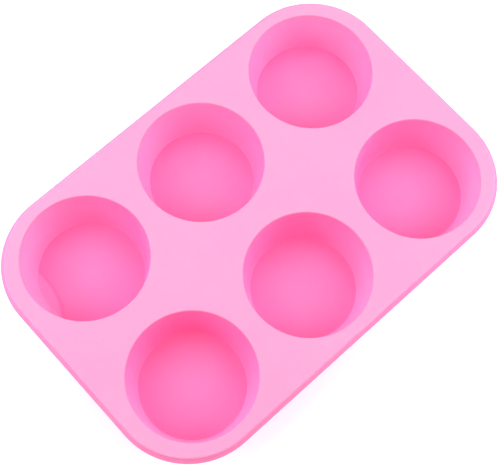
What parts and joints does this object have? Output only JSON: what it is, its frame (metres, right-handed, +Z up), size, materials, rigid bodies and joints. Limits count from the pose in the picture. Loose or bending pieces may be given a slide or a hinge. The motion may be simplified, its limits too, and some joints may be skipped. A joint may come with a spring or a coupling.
{
  "type": "silicone soap mould",
  "caption": "Flexible flat mould with rounded corners, a short flared skirt and a grid of round tapered cups for casting soap bars.",
  "frame": {"origin": "centre of the footprint, on the surface that the cups stand on", "axes": "+X along the length, +Y across the width, +Z up out of the cups' mouths"},
  "size_m": [0.26, 0.175, 0.03],
  "materials": {
    "silicone": "satin"
  },
  "bodies": {
    "moulding": {"top_sheet": "silicone", "edge_skirt": "silicone", "cup_wall_1": "silicone", "cup_wall_2": "silicone", "cup_wall_3": "silicone", "cup_wall_4": "silicone", "cup_wall_5": "silicone", "cup_wall_6": "silicone"},
    "floor_1": {"cup_floor_1": "silicone"},
    "floor_2": {"cup_floor_2": "silicone"},
    "floor_3": {"cup_floor_3": "silicone"},
    "floor_4": {"cup_floor_4": "silicone"},
    "floor_5": {"cup_floor_5": "silicone"},
    "floor_6": {"cup_floor_6": "silicone"}
  },
  "joints": [
    {"name": "push_out_1", "type": "slide", "parent": "moulding", "child": "floor_1", "axis": [0, 0, 1], "range_m": [0, 0.012], "stiffness_N_per_m": 1000, "deforming": ["cup_wall_1"]},
    {"name": "push_out_2", "type": "slide", "parent": "moulding", "child": "floor_2", "axis": [0, 0, 1], "range_m": [0, 0.012], "stiffness_N_per_m": 1000, "deforming": ["cup_wall_2"]},
    {"name": "push_out_3", "type": "slide", "parent": "moulding", "child": "floor_3", "axis": [0, 0, 1], "range_m": [0, 0.012], "stiffness_N_per_m": 1000, "deforming": ["cup_wall_3"]},
    {"name": "push_out_4", "type": "slide", "parent": "moulding", "child": "floor_4", "axis": [0, 0, 1], "range_m": [0, 0.012], "stiffness_N_per_m": 1000, "deforming": ["cup_wall_4"]},
    {"name": "push_out_5", "type": "slide", "parent": "moulding", "child": "floor_5", "axis": [0, 0, 1], "range_m": [0, 0.012], "stiffness_N_per_m": 1000, "deforming": ["cup_wall_5"]},
    {"name": "push_out_6", "type": "slide", "parent": "moulding", "child": "floor_6", "axis": [0, 0, 1], "range_m": [0, 0.012], "stiffness_N_per_m": 1000, "deforming": ["cup_wall_6"]}
  ]
}
